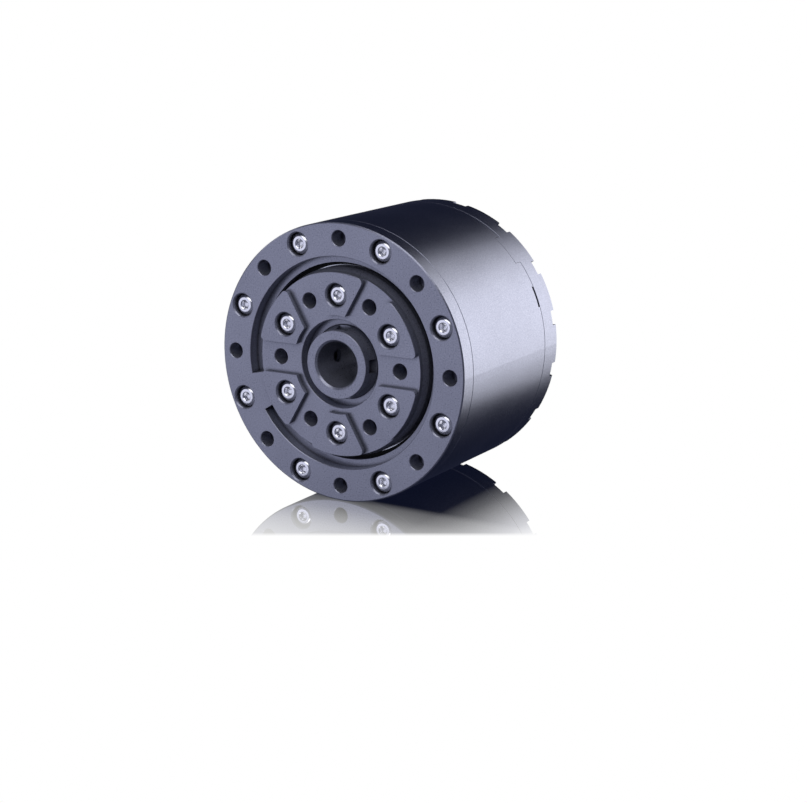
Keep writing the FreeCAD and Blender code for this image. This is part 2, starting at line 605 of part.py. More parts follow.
def bearing_balls(front):
    pitch = (BEARING_BORE + BEARING_RADIUS) / 2
    ball = Part.makeSphere(BALL_RADIUS, FreeCAD.Vector(pitch, front + BEARING_WIDTH / 2, 0))
    return around(ball, BALL_COUNT)


def flexspline():
    """Thin toothed cup, bent oval at its open end and round at its bolted boss."""
    corners = []
    for k in range(FLEX_TEETH):
        centre, outward = oval_place(FLEX_PITCH_RADIUS, 360.0 * k / FLEX_TEETH)
        corners += tooth_corners(centre, outward, (-DEDENDUM, FLEX_ADDENDUM))
    teeth = toothed_disc(corners, WEB_BACK, FLEX_BACK)
    teeth = teeth.cut(oval_disc(FLEX_INNER_RADIUS, WEB_BACK - CUT_OVERSHOOT, FLEX_BACK + CUT_OVERSHOOT))
    diaphragm = INNER_RACE_BACK + DIAPHRAGM_STEP
    wall = []
    for radius, front in ((FLEX_INNER_RADIUS + FLEX_WALL, diaphragm),
                          (FLEX_INNER_RADIUS, diaphragm + FLEX_WALL)):
        round_edge = Part.makeCircle(radius, FreeCAD.Vector(0, front, 0), BACKWARDS)
        oval_edge = Part.Ellipse(FreeCAD.Vector(radius + WAVE_LIFT, WEB_BACK, 0),
                                 FreeCAD.Vector(0, WEB_BACK, radius - WAVE_LIFT),
                                 FreeCAD.Vector(0, WEB_BACK, 0)).toShape()
        wall.append(Part.makeLoft([Part.Wire(round_edge), Part.Wire(oval_edge)], True, True))
    cup = wall[0].cut(wall[1])
    cup = cup.cut(disc(FLEX_BOSS_INNER, INNER_RACE_BACK, WEB_BACK))
    boss = tube(FLEX_BOSS_OUTER, FLEX_BOSS_INNER, INNER_RACE_BACK, FLEX_SEAT)
    through = hole(SMALL_THREAD + SCREW_CLEARANCE, FRONT_BEARING, WEB_BACK, FLEX_SCREW_RADIUS)
    return cup.fuse([teeth, boss]).cut(around(through, FLANGE_BOLT_COUNT))


def flexspline_screws():
    screw = moved(reversed_screw(small_screw(FLEX_SCREW_LENGTH)), FLEX_SCREW_RADIUS, FLEX_SEAT)
    return around(screw, FLANGE_BOLT_COUNT)


def circular_spline():
    """Rigid internal gear, with two teeth more than the cup."""
    corners = []
    for k in range(RIGID_TEETH):
        angle = math.radians(360.0 * (k + 0.5) / RIGID_TEETH)
        outward = FreeCAD.Vector(math.cos(angle), 0, math.sin(angle))
        corners += tooth_corners(outward * RIGID_PITCH_RADIUS, outward, (DEDENDUM, -RIGID_ADDENDUM))
    ring = disc(RIGID_SPLINE_RADIUS - FIT_GAP, WEB_BACK, RIGID_BACK)
    ring = ring.cut(toothed_disc(corners, WEB_BACK - CUT_OVERSHOOT, RIGID_BACK + CUT_OVERSHOOT))
    through = hole(SMALL_THREAD + SCREW_CLEARANCE, OUTER_RACE_BACK, STACK_FRONT, RIGID_SCREW_RADIUS)
    return ring.cut(around(through, RIGID_SCREW_COUNT))


def circular_spline_screws():
    screw = moved(reversed_screw(small_screw(RIGID_SCREW_LENGTH)), RIGID_SCREW_RADIUS, RIGID_BACK)
    return around(screw, RIGID_SCREW_COUNT)


def key_block(gap):
    """Parallel key between the motor shaft and the wave generator, on the short axis."""
    middle = (WAVE_FRONT + WAVE_BACK) / 2
    half_height = KEY_HEIGHT / 2 + gap
    half_length = KEY_LENGTH / 2 + gap
    key = block(BEARING_BORE - half_height, BEARING_BORE + half_height, KEY_WIDTH + 2 * gap,
                middle - half_length, middle + half_length)
    return turned(key, 90)


def wave_generator_plug():
    plug = oval_disc(PLUG_RADIUS, WAVE_FRONT, WAVE_BACK)
    plug = plug.cut(disc(BEARING_BORE, WEB_BACK, RIGID_BACK))
    keyway = block(BEARING_BORE - KEY_HEIGHT / 2, BEARING_BORE + KEY_HEIGHT / 2 + FIT_GAP,
                   KEY_WIDTH + 2 * FIT_GAP, WEB_BACK, RIGID_BACK)
    return plug.cut(turned(keyway, 90))


def wave_bearing_inner_race():
    return oval_tube(WAVE_BALL_INNER, PLUG_RADIUS, WAVE_FRONT, WAVE_BACK)


def wave_bearing_outer_race():
    return oval_tube(WAVE_OUTER_RADIUS, WAVE_BALL_OUTER, WAVE_FRONT, WAVE_BACK)


def wave_bearing_balls():
    balls = []
    for k in range(WAVE_BALL_COUNT):
        centre, outward = oval_place(WAVE_BALL_PITCH, 360.0 * k / WAVE_BALL_COUNT)
        centre.y = (WAVE_FRONT + WAVE_BACK) / 2
        balls.append(Part.makeSphere(WAVE_BALL_RADIUS, centre))
    return Part.makeCompound(balls)


def rotor_shaft():
    """Hollow motor shaft with the web and rim that carry the magnets."""
    rim_back = STACK_BACK + MAGNET_OVERHANG
    web_back = ROTOR_WEB_FRONT + ROTOR_WEB
    shaft = revolved([(ROTOR_BORE_RADIUS, FRONT_BEARING), (BEARING_BORE, FRONT_BEARING),
                      (BEARING_BORE, WAVE_BACK), (ROTOR_SHOULDER, WAVE_BACK),
                      (ROTOR_SHOULDER, ROTOR_WEB_FRONT), (RIM_RADIUS, ROTOR_WEB_FRONT),
                      (RIM_RADIUS, rim_back), (RIM_INNER_RADIUS, rim_back), (RIM_INNER_RADIUS, web_back),
                      (ROTOR_SHOULDER, web_back), (ROTOR_SHOULDER, REAR_BEARING),
                      (BEARING_BORE, REAR_BEARING), (BEARING_BORE, ROTOR_DISC_BACK),
                      (ROTOR_BORE_RADIUS, ROTOR_DISC_BACK)])
    return shaft.cut(key_block(FIT_GAP))


def rotor_spacer():
    return tube(BEARING_BORE + BEARING_RACE / 2, BEARING_BORE, INNER_RACE_BACK, WAVE_FRONT)


def rotor_magnets():
    pitch = 2 * math.pi * RIM_RADIUS / MAGNET_COUNT
    span = 360.0 / MAGNET_COUNT * (1 - MAGNET_SPACING / pitch)
    magnet = sector(MAGNET_RADIUS, RIM_RADIUS, STACK_FRONT - MAGNET_OVERHANG,
                    STACK_BACK + MAGNET_OVERHANG, 0, span)
    return around(magnet, MAGNET_COUNT)


def rotor_nut():
    nut = tube(NUT_RADIUS, BEARING_BORE, BELL_FRONT, BELL_FRONT + NUT_WIDTH)
    slot = block(NUT_RADIUS - NUT_SLOT_DEPTH, NUT_RADIUS + CUT_OVERSHOOT, NUT_SLOT_WIDTH, REAR_BEARING,
                 BELL_BACK)
    return nut.cut(around(slot, NUT_SLOT_COUNT))


def rotor_encoder_disc():
    return tube(DISC_RADIUS, BEARING_BORE, ROTOR_DISC_FRONT, ROTOR_DISC_BACK)


def stator_core():
    """Laminated stack: a yoke with teeth that widen into shoes at the air gap."""
    yoke_inner = MOTOR_BORE_RADIUS - YOKE_THICKNESS
    yoke = tube(MOTOR_BORE_RADIUS - FIT_GAP, yoke_inner, STACK_FRONT, STACK_BACK)
    shoe_radius = STATOR_BORE_RADIUS + SHOE_THICKNESS
    neck = block(shoe_radius - SHOE_THICKNESS / 2, yoke_inner + TOOTH_ROOT, TOOTH_WIDTH, STACK_FRONT,
                 STACK_BACK)
    shoe_span = 360.0 / STATOR_TEETH - math.degrees(SLOT_OPENING / STATOR_BORE_RADIUS)
    shoe = sector(shoe_radius, STATOR_BORE_RADIUS, STACK_FRONT, STACK_BACK, 0, shoe_span)
    return yoke.fuse(around(neck.fuse(shoe), STATOR_TEETH).Solids).removeSplitter()


def stator_coils():
    inner = STATOR_BORE_RADIUS + SHOE_THICKNESS + COIL_LINER
    outer = MOTOR_BORE_RADIUS - YOKE_THICKNESS - 3 * COIL_LINER
    opening = TOOTH_WIDTH + 2 * COIL_LINER
    coil = block(inner, outer, opening + 2 * COIL_WIDTH, STACK_FRONT - COIL_OVERHANG,
                 STACK_BACK + COIL_OVERHANG)
    room = block(inner - CUT_OVERSHOOT, outer + CUT_OVERSHOOT, opening, STACK_FRONT - COIL_LINER,
                 STACK_BACK + COIL_LINER)
    return around(coil.cut(room), STATOR_TEETH)


def end_bell():
    """Rear bearing plate of the motor, seated on a ledge in the housing."""
    bell = revolved([(BEARING_RADIUS - 2 * BEARING_LIP, BELL_FRONT), (BEARING_RADIUS, BELL_FRONT),
                     (BEARING_RADIUS, REAR_BEARING), (BEARING_RADIUS + BELL_BOSS, REAR_BEARING),
                     (BEARING_RADIUS + BELL_BOSS, BELL_FRONT), (BELL_RADIUS - FIT_GAP, BELL_FRONT),
                     (BELL_RADIUS - FIT_GAP, BELL_BACK), (BEARING_RADIUS - 2 * BEARING_LIP, BELL_BACK)])
    sink = bell_screw_shape(SCREW_CLEARANCE, THREAD_GAP)
    cover_thread = hole(SMALL_THREAD + THREAD_GAP, REAR_BEARING, BOARD_FRONT, COVER_SCREW_RADIUS)
    board_thread = hole(SMALL_THREAD + THREAD_GAP, REAR_BEARING, BOARD_FRONT, BOARD_SCREW_RADIUS)
    return bell.cut([around(sink, BELL_SCREW_COUNT),
                     around(cover_thread, COVER_SCREW_COUNT, COVER_SCREW_FIRST),
                     around(board_thread, BOARD_SCREW_COUNT, BOARD_SCREW_FIRST)])


def bell_screw_shape(shank_gap=0.0, cone_gap=0.0):
    """Countersunk screw with its head flush with the back of the end bell."""
    shank = BELL_SCREW_THREAD + shank_gap
    head = BELL_SCREW_HEAD + cone_gap
    cone = head - shank
    screw = revolved([(0, BELL_BACK - BELL_SCREW_LENGTH), (shank, BELL_BACK - BELL_SCREW_LENGTH),
                      (shank, BELL_BACK - cone), (head, BELL_BACK), (0, BELL_BACK)])
    return moved(screw, BELL_SCREW_RADIUS)


def end_bell_screws():
    return around(bell_screw_shape(), BELL_SCREW_COUNT)


def housing():
    """Turned aluminium barrel with a seat for each bearing, gear and stator."""
    barrel = revolved([(OUTER_RACE_RADIUS, RING_DEPTH), (BODY_RADIUS - SEAM_CHAMFER, RING_DEPTH),
                       (BODY_RADIUS, RING_DEPTH + SEAM_CHAMFER), (BODY_RADIUS, HOUSING_BACK - SEAM_CHAMFER),
                       (BODY_RADIUS - SEAM_CHAMFER, HOUSING_BACK), (BELL_RADIUS, HOUSING_BACK),
                       (BELL_RADIUS, BELL_FRONT), (MOTOR_BORE_RADIUS, BELL_FRONT),
                       (MOTOR_BORE_RADIUS, STACK_FRONT), (COIL_SPACE_RADIUS, STACK_FRONT),
                       (COIL_SPACE_RADIUS, RIGID_BACK), (RIGID_SPLINE_RADIUS, RIGID_BACK),
                       (RIGID_SPLINE_RADIUS, WEB_BACK), (WEB_BORE_RADIUS, WEB_BACK),
                       (WEB_BORE_RADIUS, OUTER_RACE_BACK), (OUTER_RACE_RADIUS, OUTER_RACE_BACK)])
    ring_thread = hole(M3_THREAD + THREAD_GAP, 0, RING_SEAT + RING_SCREW_LENGTH + THREAD_RUNOUT,
                       RING_BOLT_RADIUS)
    rigid_thread = hole(SMALL_THREAD + THREAD_GAP, RIGID_BACK - RIGID_SCREW_LENGTH - THREAD_RUNOUT,
                        RIGID_BACK, RIGID_SCREW_RADIUS)
    bell_thread = hole(BELL_SCREW_THREAD + THREAD_GAP, BELL_BACK - BELL_SCREW_LENGTH - THREAD_RUNOUT,
                       BELL_BACK, BELL_SCREW_RADIUS)
    outside = BODY_RADIUS + CUT_OVERSHOOT
    inside = BELL_RADIUS - CUT_OVERSHOOT
    key_notch = sector(outside, inside, HOUSING_BACK - KEY_TAB_DEPTH, OVERALL_DEPTH, KEY_TAB_ANGLE,
                       KEY_TAB_SPAN)
    slot = sector(outside, inside, HOUSING_BACK - SLOT_WIDTH, OVERALL_DEPTH, SLOT_ANGLE, SLOT_SPAN)
    return barrel.cut([around(ring_thread, RING_BOLT_COUNT, RING_SCREW_FIRST),
                       around(rigid_thread, RIGID_SCREW_COUNT), around(bell_thread, BELL_SCREW_COUNT),
                       key_notch, slot])


def connector_blocks(gap):
    """The three connectors in a row below the bore, power in the middle, as blocks through the plate."""
    power = (POWER_CONNECTOR_WIDTH, POWER_CONNECTOR_HEIGHT)
    data = (DATA_CONNECTOR_WIDTH, DATA_CONNECTOR_HEIGHT)
    places = ((0, power, POWER_CONNECTOR_DROP),
              (-DATA_CONNECTOR_SIDE, data, DATA_CONNECTOR_DROP),
              (DATA_CONNECTOR_SIDE, data, DATA_CONNECTOR_DROP))
    length = PLATE_BACK + CONNECTOR_PROUD - BOARD_BACK
    blocks = []
    for side, (width, height), drop in places:
        corner = FreeCAD.Vector(side - width / 2 - gap, BOARD_BACK, -drop - height / 2 - gap)
        blocks.append(Part.makeBox(width + 2 * gap, length, height + 2 * gap, corner))
    return blocks


def rear_cover():
    """Cast cover: a plate set back behind a castellated rim, keyed into the housing."""
    spigot = BELL_RADIUS - FIT_GAP
    cover = revolved([(SEAL_RADIUS, PLATE_FRONT), (spigot - SPIGOT_WALL, PLATE_FRONT),
                      (spigot - SPIGOT_WALL, BELL_BACK), (spigot, BELL_BACK),
                      (spigot, HOUSING_BACK), (BODY_RADIUS - SEAM_CHAMFER, HOUSING_BACK),
                      (BODY_RADIUS, HOUSING_BACK + SEAM_CHAMFER),
                      (BODY_RADIUS, OVERALL_DEPTH - EDGE_CHAMFER),
                      (BODY_RADIUS - EDGE_CHAMFER, OVERALL_DEPTH),
                      (COVER_INNER_RADIUS, OVERALL_DEPTH), (COVER_INNER_RADIUS, PLATE_BACK),
                      (SEAL_RADIUS, PLATE_BACK)])
    boss = hole(COVER_BOSS_RADIUS, BELL_BACK, PLATE_FRONT + BOSS_ROOT, COVER_SCREW_RADIUS)
    tab = sector(BODY_RADIUS, BELL_RADIUS - 2 * FIT_GAP, HOUSING_BACK - KEY_TAB_DEPTH + KEY_TAB_GAP,
                 HOUSING_BACK + BOSS_ROOT, KEY_TAB_ANGLE, KEY_TAB_SPAN - KEY_TAB_PLAY)
    tab = tab.cut(tube(BELL_RADIUS, MOTOR_BORE_RADIUS, BELL_FRONT, BELL_BACK))
    cover = cover.fuse(around(boss, COVER_SCREW_COUNT, COVER_SCREW_FIRST).Solids + [tab])
    notch = block(COVER_SCREW_RADIUS, BODY_RADIUS + CUT_OVERSHOOT, NOTCH_WIDTH,
                  OVERALL_DEPTH - NOTCH_DEPTH, OVERALL_DEPTH + CUT_OVERSHOOT)
    through = hole(SMALL_THREAD + SCREW_CLEARANCE, BELL_FRONT, OVERALL_DEPTH, COVER_SCREW_RADIUS)
    return cover.cut([around(notch, NOTCH_COUNT, 180.0 / NOTCH_COUNT),
                      around(through, COVER_SCREW_COUNT, COVER_SCREW_FIRST),
                      *connector_blocks(CONNECTOR_GAP)])


def rear_cover_screws():
    screw = moved(reversed_screw(small_screw(COVER_SCREW_LENGTH)), COVER_SCREW_RADIUS, PLATE_BACK)
    return around(screw, COVER_SCREW_COUNT, COVER_SCREW_FIRST)


def rear_seal():
    return tube(SEAL_RADIUS, SHAFT_RADIUS + SEAL_GAP, PLATE_FRONT, PLATE_BACK)


def output_encoder_disc():
    return tube(DISC_RADIUS, SHAFT_RADIUS, OUTPUT_DISC_FRONT, OUTPUT_DISC_BACK)


def driver_board():
    board = tube(BOARD_RADIUS, BOARD_BORE_RADIUS, BOARD_FRONT, BOARD_BACK)
    through = hole(SMALL_THREAD + SCREW_CLEARANCE, BELL_BACK, PLATE_FRONT, BOARD_SCREW_RADIUS)
    return board.cut(around(through, BOARD_SCREW_COUNT, BOARD_SCREW_FIRST))


def chip(length, width, thickness, angle):
    """Flat package on the rear side of the board, with its length pointing outwards."""
    body = block(CHIP_RADIUS - length / 2, CHIP_RADIUS + length / 2, width, BOARD_BACK,
                 BOARD_BACK + thickness)
    return turned(body, angle)


def board_components():
    """Processor, power transistors and capacitors on the rear side of the board."""
    parts = [chip(PROCESSOR_SIZE, PROCESSOR_SIZE, PROCESSOR_THICKNESS, 90.0)]
    parts += [chip(TRANSISTOR_LENGTH, TRANSISTOR_WIDTH, TRANSISTOR_THICKNESS, angle)
              for angle in TRANSISTOR_ANGLES]
    capacitor = hole(CAPACITOR_RADIUS, BOARD_BACK, BOARD_BACK + CAPACITOR_HEIGHT, CHIP_RADIUS)
    parts += [turned(capacitor, angle) for angle in CAPACITOR_ANGLES]
    return Part.makeCompound(parts)


def board_spacers():
    spacer = tube(SPACER_RADIUS, SMALL_THREAD + SCREW_CLEARANCE, BELL_BACK, BOARD_FRONT)
    return around(moved(spacer, BOARD_SCREW_RADIUS), BOARD_SCREW_COUNT, BOARD_SCREW_FIRST)


def board_screws():
    screw = moved(reversed_screw(small_screw(BOARD_SCREW_LENGTH)), BOARD_SCREW_RADIUS, BOARD_BACK)
    return around(screw, BOARD_SCREW_COUNT, BOARD_SCREW_FIRST)


def connectors():
    """Three open headers, each with its cavity towards the rear."""
    headers = []
    for shell, cavity in zip(connector_blocks(0), connector_blocks(-CONNECTOR_WALL)):
        room = cavity.copy()
        room.translate(FreeCAD.Vector(0, CONNECTOR_WALL, 0))
        headers.append(shell.cut(room))
    return headers


def write(name, shape):
    shape.exportStep("parts/" + name + ".step")


os.makedirs("parts", exist_ok=True)
write("housing", housing())
write("front_ring", front_ring())
write("front_ring_screws", front_ring_screws())
write("bearing_shield", bearing_shield())
write("crossed_roller_outer_ring", crossed_roller_outer_ring())
write("crossed_roller_inner_ring", crossed_roller_inner_ring())
write("crossed_rollers", crossed_rollers())
write("crossed_roller_cage", crossed_roller_cage())
write("output_flange", output_flange())
write("output_flange_screws", output_flange_screws())
write("hollow_shaft", hollow_shaft())
write("flexspline", flexspline())
write("flexspline_screws", flexspline_screws())
write("circular_spline", circular_spline())
write("circular_spline_screws", circular_spline_screws())
write("wave_generator_plug", wave_generator_plug())
write("wave_generator_key", key_block(0))
write("wave_bearing_inner_race", wave_bearing_inner_race())
write("wave_bearing_balls", wave_bearing_balls())
write("wave_bearing_outer_race", wave_bearing_outer_race())
write("rotor_shaft", rotor_shaft())
write("rotor_spacer", rotor_spacer())
write("rotor_magnets", rotor_magnets())
write("rotor_nut", rotor_nut())
write("rotor_encoder_disc", rotor_encoder_disc())
write("front_bearing_inner_ring", bearing_inner_ring(FRONT_BEARING))
write("front_bearing_outer_ring", bearing_outer_ring(FRONT_BEARING))
write("front_bearing_balls", bearing_balls(FRONT_BEARING))
write("rear_bearing_inner_ring", bearing_inner_ring(REAR_BEARING))
write("rear_bearing_outer_ring", bearing_outer_ring(REAR_BEARING))
write("rear_bearing_balls", bearing_balls(REAR_BEARING))
write("stator_core", stator_core())
write("stator_coils", stator_coils())
write("end_bell", end_bell())
write("end_bell_screws", end_bell_screws())
write("output_encoder_disc", output_encoder_disc())
write("driver_board", driver_board())
write("board_components", board_components())
write("board_spacers", board_spacers())
write("board_screws", board_screws())
headers = connectors()
write("power_connector", headers[0])
write("data_connectors", Part.makeCompound(headers[1:]))
write("rear_cover", rear_cover())
write("rear_cover_screws", rear_cover_screws())
write("rear_seal", rear_seal())
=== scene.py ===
"""Looks of a hollow-shaft robot joint actuator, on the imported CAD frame. Metres; the shaft axis
lies along Y, the output faces -Y and +Z is up. The sections follow the actuator as it is put
together."""

import math

import bmesh
import bpy
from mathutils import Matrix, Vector


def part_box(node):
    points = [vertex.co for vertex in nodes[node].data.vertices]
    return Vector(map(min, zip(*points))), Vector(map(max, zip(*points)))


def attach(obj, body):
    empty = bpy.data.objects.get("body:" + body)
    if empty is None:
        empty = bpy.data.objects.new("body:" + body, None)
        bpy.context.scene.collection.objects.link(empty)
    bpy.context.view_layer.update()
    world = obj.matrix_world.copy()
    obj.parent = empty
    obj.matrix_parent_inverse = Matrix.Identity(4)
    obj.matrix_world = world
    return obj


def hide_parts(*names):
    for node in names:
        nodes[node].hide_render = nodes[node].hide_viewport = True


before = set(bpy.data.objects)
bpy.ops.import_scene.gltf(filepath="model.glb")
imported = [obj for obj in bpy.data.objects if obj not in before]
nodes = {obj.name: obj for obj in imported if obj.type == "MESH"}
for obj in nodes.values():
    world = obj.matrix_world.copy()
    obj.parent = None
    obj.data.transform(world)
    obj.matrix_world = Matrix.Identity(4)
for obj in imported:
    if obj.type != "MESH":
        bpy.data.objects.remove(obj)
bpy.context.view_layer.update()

# Housing barrel: a tube of aluminium, turned, blasted with fine beads and anodised blue-grey. The
# blasting leaves a close grain that spreads a soft box along the barrel in one broad band, and the
# dyed skin is all metal, so the sides away from the light stay dark.
mm = 0.001


def linear(code):
    """Linear colour of an sRGB hex value."""
    values = [int(code[i:i + 2], 16) / 255 for i in (1, 3, 5)]
    return tuple(v / 12.92 if v <= 0.04045 else ((v + 0.055) / 1.055) ** 2.4 for v in values) + (1,)


def add_node(material, kind, settings=None, links=None):
    """Adds one shader node. Settings are its properties and unlinked sockets, and links are its
    linked sockets."""
    node = material.node_tree.nodes.new(kind)
    for name, value in (settings or {}).items():
        if isinstance(name, str) and hasattr(node, name):
            setattr(node, name, value)
        else:
            node.inputs[name].default_value = value
    for name, output in (links or {}).items():
        material.node_tree.links.new(output, node.inputs[name])
    return node


def new_material(name):
    """Empty node material and its output node."""
    material = bpy.data.materials.new(name)
    material.use_nodes = True
    material.node_tree.nodes.clear()
    return material, add_node(material, "ShaderNodeOutputMaterial")


def dress(material, *names):
    """Gives CAD nodes a material on all their slots."""
    for name in names:
        for slot in nodes[name].material_slots:
            slot.material = material


def anodised(name, light_grain, dark_grain, grain_mm, roughness, bump, metal_share, outside=None):
    """Blasted and anodised aluminium. Its grain shows in colour, gloss and height, faint clouds of
    about 17 mm run through it, and corners get painted shade: their colour is darkened by how
    closed in they are. Where outside is given, (radius in mm, roughness), the turned outside
    beyond that radius is all metal."""
    cloud_mm, cloud_share = 50 / 3, 0.25
    darkest, lightest = 0.3, 0.95
    gloss_spread, grain_height, painted_shade_reach = 0.05, 0.02 * mm, 1.2 * mm
    material, output = new_material(name)
    place = add_node(material, "ShaderNodeTexCoord")
    grain = add_node(material, "ShaderNodeTexNoise",
                     {"Scale": 1 / (grain_mm * mm), "Detail": 2.0, "Roughness": 0.6},
                     {"Vector": place.outputs["Object"]})
    cloud = add_node(material, "ShaderNodeTexNoise",
                     {"Scale": 1 / (cloud_mm * mm), "Detail": 3.0},
                     {"Vector": place.outputs["Object"]})
    mixed = add_node(material, "ShaderNodeMath", {"operation": "MULTIPLY_ADD", 1: cloud_share},
                     {0: cloud.outputs["Fac"], 2: grain.outputs["Fac"]})
    tone = add_node(material, "ShaderNodeValToRGB", {}, {"Fac": mixed.outputs["Value"]})
    tone.color_ramp.elements[0].position = darkest
    tone.color_ramp.elements[0].color = linear(dark_grain)
    tone.color_ramp.elements[1].position = lightest
    tone.color_ramp.elements[1].color = linear(light_grain)
    gloss = add_node(material, "ShaderNodeMapRange",
                     {"To Min": roughness - gloss_spread, "To Max": roughness + gloss_spread},
                     {"Value": mixed.outputs["Value"]})
    relief = add_node(material, "ShaderNodeBump", {"Strength": bump, "Distance": grain_height},
                      {"Height": grain.outputs["Fac"]})
    # Painted shade: ambient occlusion darkens the base colour in corners and recesses, within a
    # short reach.
    painted_corner_shade = add_node(material, "ShaderNodeAmbientOcclusion",
                      {"samples": 8, "Distance": painted_shade_reach}, {"Color": tone.outputs["Color"]})
    links = {"Base Color": painted_corner_shade.outputs["Color"], "Roughness": gloss.outputs["Result"],
             "Normal": relief.outputs["Normal"]}
    if outside:
        radius_mm, turned_roughness = outside
        edge_mm = 0.1
        flat = add_node(material, "ShaderNodeVectorMath", {"operation": "MULTIPLY", 1: (1, 0, 1)},
                        {0: place.outputs["Object"]})
        radius = add_node(material, "ShaderNodeVectorMath", {"operation": "LENGTH"},
                          {0: flat.outputs["Vector"]})
        edge = {"From Min": (radius_mm - edge_mm) * mm, "From Max": radius_mm * mm}
        metal = add_node(material, "ShaderNodeMapRange",
                         {**edge, "To Min": metal_share, "To Max": 1.0},
                         {"Value": radius.outputs["Value"]})
        turned = add_node(material, "ShaderNodeMapRange",
                          {**edge, "To Min": 0.0, "To Max": turned_roughness - roughness},
                          {"Value": radius.outputs["Value"]})
        total = add_node(material, "ShaderNodeMath", {"operation": "ADD"},
                         {0: gloss.outputs["Result"], 1: turned.outputs["Result"]})
        links["Roughness"] = total.outputs["Value"]
        links["Metallic"] = metal.outputs["Result"]
        settings = {}
    else:
        settings = {"Metallic": metal_share}
    skin = add_node(material, "ShaderNodeBsdfPrincipled", settings, links)
    material.node_tree.links.new(skin.outputs["BSDF"], output.inputs["Surface"])
    return material


barrel_roughness = 0.32
barrel = anodised("anodised aluminium, fine blasted", "#a6a8b6", "#787a86", grain_mm=0.35,
                  roughness=barrel_roughness, bump=0.25, metal_share=1.0)
dress(barrel, "housing")


# Ring gear and flexible cup: alloy steel, turned, then hobbed or shaped, and left bright. The wave
# generator, its key and the rotor's shaft, spacer and nut are turned from the same steel. The
# cutter leaves faint marks that break the reflections.
def plated(name, colour, roughness, scratch_mm, bump=0.15):
    """Plated, turned or ground metal with faint irregular marks, as wide as scratch_mm."""
    polished, dulled, mark_height = 0.06, 0.08, 0.01 * mm
    material, output = new_material(name)
    place = add_node(material, "ShaderNodeTexCoord")
    marks = add_node(material, "ShaderNodeTexNoise",
                     {"Scale": 1 / (scratch_mm * mm), "Detail": 4.0},
                     {"Vector": place.outputs["Object"]})
    gloss = add_node(material, "ShaderNodeMapRange",
                     {"To Min": roughness - polished, "To Max": roughness + dulled},
                     {"Value": marks.outputs["Fac"]})
    relief = add_node(material, "ShaderNodeBump", {"Strength": bump, "Distance": mark_height},
                      {"Height": marks.outputs["Fac"]})
    metal = add_node(material, "ShaderNodeBsdfPrincipled",
                     {"Base Color": linear(colour), "Metallic": 1.0},
                     {"Roughness": gloss.outputs["Result"], "Normal": relief.outputs["Normal"]})
    material.node_tree.links.new(metal.outputs["BSDF"], output.inputs["Surface"])
    return material


dress(plated("turned alloy steel", "#a9abb0", roughness=0.32, scratch_mm=0.3), "circular_spline",
      "flexspline", "wave_generator_plug", "wave_generator_key", "rotor_shaft", "rotor_spacer",
      "rotor_nut")

# Bearings: the crossed-roller bearing at the output, the thin oval bearing of the wave generator
# and the two motor bearings. Hardened bearing steel, ground and polished, so it mirrors sharply.
dress(plated("ground bearing steel", "#c9cbd0", roughness=0.18, scratch_mm=0.8),
      "crossed_roller_outer_ring", "crossed_roller_inner_ring", "crossed_rollers",
      "wave_bearing_inner_race", "wave_bearing_outer_race", "wave_bearing_balls",
      "front_bearing_outer_ring", "front_bearing_inner_ring", "front_bearing_balls",
      "rear_bearing_outer_ring", "rear_bearing_inner_ring", "rear_bearing_balls")

# Roller cage and board spacers: the cage keeps the crossed rollers apart, and the spacers carry the
# driver board. Both are turned from brass, which has a warm yellow shine.
dress(plated("turned brass", "#c9a258", roughness=0.3, scratch_mm=0.4), "crossed_roller_cage",
      "board_spacers")

# Stator: a stack of varnished electrical steel sheets with coils of enamelled copper wire. The
# varnish makes the core dark and satin, and the enamel gives the copper a warm gloss.
dress(plated("varnished sheet steel", "#55585c", roughness=0.45, scratch_mm=0.5), "stator_core")
dress(plated("enamelled copper wire", "#b0683a", roughness=0.35, scratch_mm=0.5), "stator_coils")

# Rotor magnets: sintered blocks on the motor shaft, nickel plated against rust. The plating is
# bright and even, with hardly a mark.
nickel = plated("nickel plated steel", "#f0f0f3", roughness=0.22, scratch_mm=0.4, bump=0.03)
dress(nickel, "rotor_magnets")

# End bell: the aluminium disc that closes the motor at its rear, turned and left bare. It is bright
# with faint turning marks.
dress(plated("turned bare aluminium", "#cfd0d2", roughness=0.35, scratch_mm=0.3), "end_bell")

# Inner screws: alloy steel with black oxide, a dark satin skin. They hold the gear set, the end
# bell and the board.
dress(plated("black oxide steel", "#3a3a3d", roughness=0.4, scratch_mm=0.3), "flexspline_screws",
      "circular_spline_screws", "end_bell_screws", "board_screws")


# Driver board: glass fibre with green solder mask, which is glossy and a little cloudy, and black
# epoxy packages, which are matte from their mould. The encoder discs are coated glass.
def moulded(name, colour, roughness, grain_mm, bump):
    """Plastic, lacquer or rubber with the fine texture of its mould."""
    gloss_spread, grain_height = 0.08, 0.02 * mm
    material, output = new_material(name)
    place = add_node(material, "ShaderNodeTexCoord")
    grain = add_node(material, "ShaderNodeTexNoise",
                     {"Scale": 1 / (grain_mm * mm), "Detail": 3.0},
                     {"Vector": place.outputs["Object"]})
    gloss = add_node(material, "ShaderNodeMapRange",
                     {"To Min": roughness - gloss_spread, "To Max": roughness + gloss_spread},
                     {"Value": grain.outputs["Fac"]})
    relief = add_node(material, "ShaderNodeBump", {"Strength": bump, "Distance": grain_height},
                      {"Height": grain.outputs["Fac"]})
    body = add_node(material, "ShaderNodeBsdfPrincipled",
                    {"Base Color": linear(colour), "IOR": 1.5},
                    {"Roughness": gloss.outputs["Result"], "Normal": relief.outputs["Normal"]})
    material.node_tree.links.new(body.outputs["BSDF"], output.inputs["Surface"])
    return material


